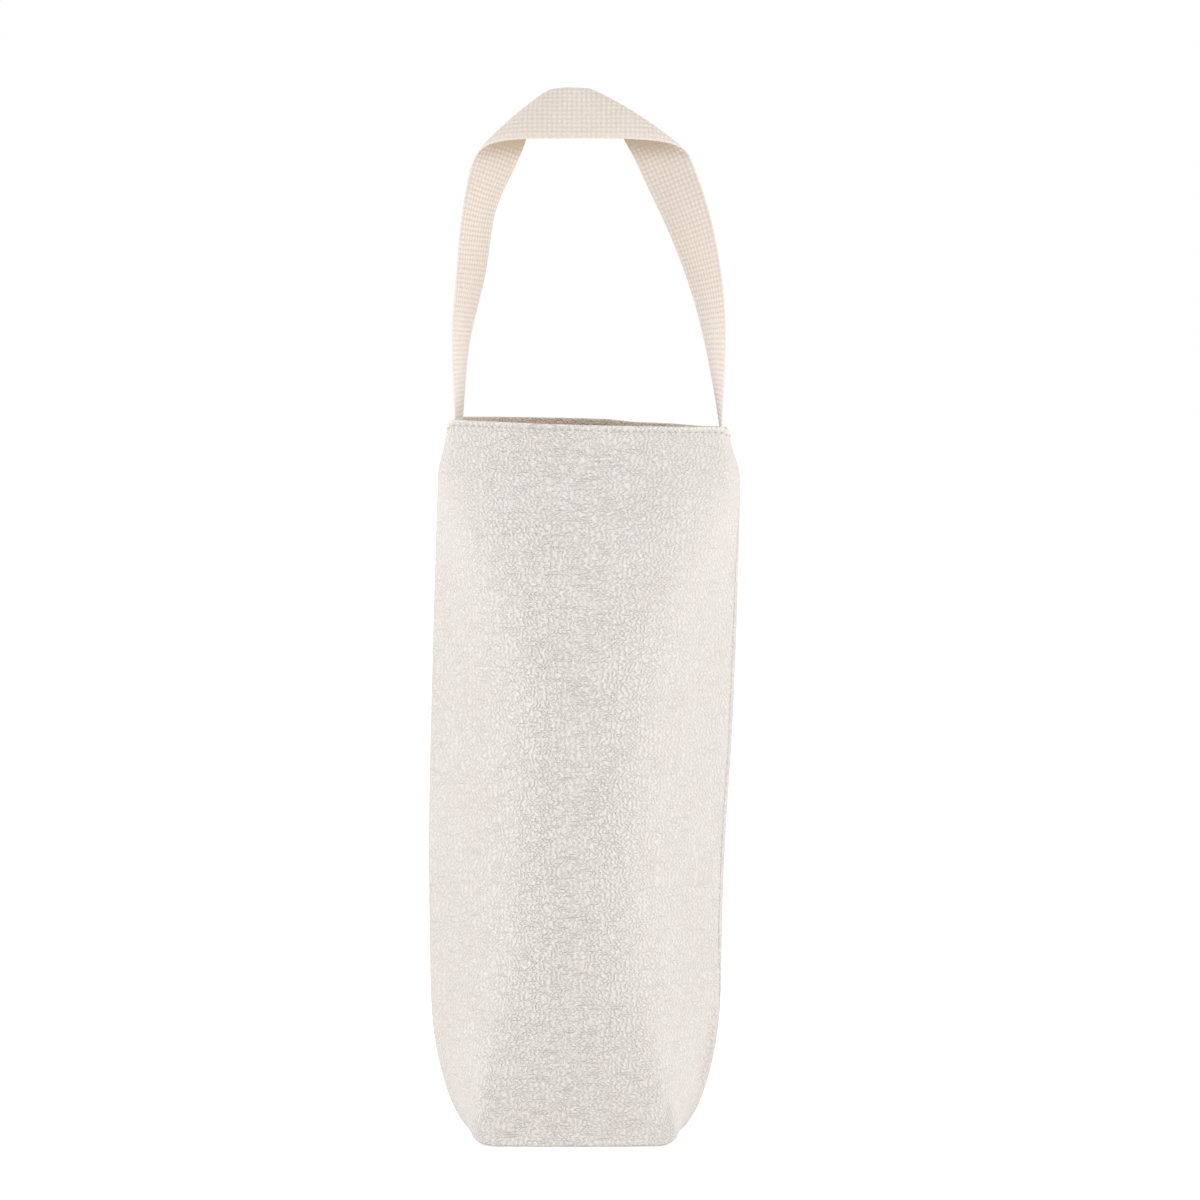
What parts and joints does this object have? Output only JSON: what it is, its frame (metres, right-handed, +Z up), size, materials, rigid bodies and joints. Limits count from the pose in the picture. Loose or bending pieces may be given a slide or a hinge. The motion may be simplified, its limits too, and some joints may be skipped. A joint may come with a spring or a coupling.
{
  "type": "bottle carrier",
  "caption": "Canvas bottle carrier: a tall sewn pouch with a boxed base, open mouth and one webbing loop handle folded over at its top.",
  "frame": {"origin": "on the floor, at the middle of the part's outline seen from above", "axes": "+Z up, X between the side seams, front of the pouch towards -Y"},
  "size_m": [0.142, 0.097, 0.4818],
  "materials": {
    "canvas": "loomstate cotton canvas, plain weave, uncoated",
    "webbing": "woven cotton webbing, undyed",
    "thread": "spun sewing thread, undyed"
  },
  "bodies": {
    "bag": {"front_panel": "canvas", "back_panel": "canvas", "handle_root_left": "webbing", "handle_root_right": "webbing", "handle_end_left": "webbing", "handle_end_right": "webbing", "rim_stitching": "thread", "base_overlock": "thread", "base_stitching": "thread", "handle_tack_left": "thread", "handle_tack_right": "thread", "left_side_overlock": "thread", "left_side_stitching": "thread", "left_corner_overlock": "thread", "left_corner_stitching": "thread", "right_side_overlock": "thread", "right_side_stitching": "thread", "right_corner_overlock": "thread", "right_corner_stitching": "thread"},
    "handle": {"handle_strap": "webbing"}
  },
  "joints": [
    {"name": "handle_swing", "type": "hinge", "parent": "bag", "child": "handle", "pos_m": [0, 0, 0.3489], "axis": [1, 0, 0], "range_deg": [-100, 100], "deforming": ["handle_root_left", "handle_root_right"]}
  ]
}
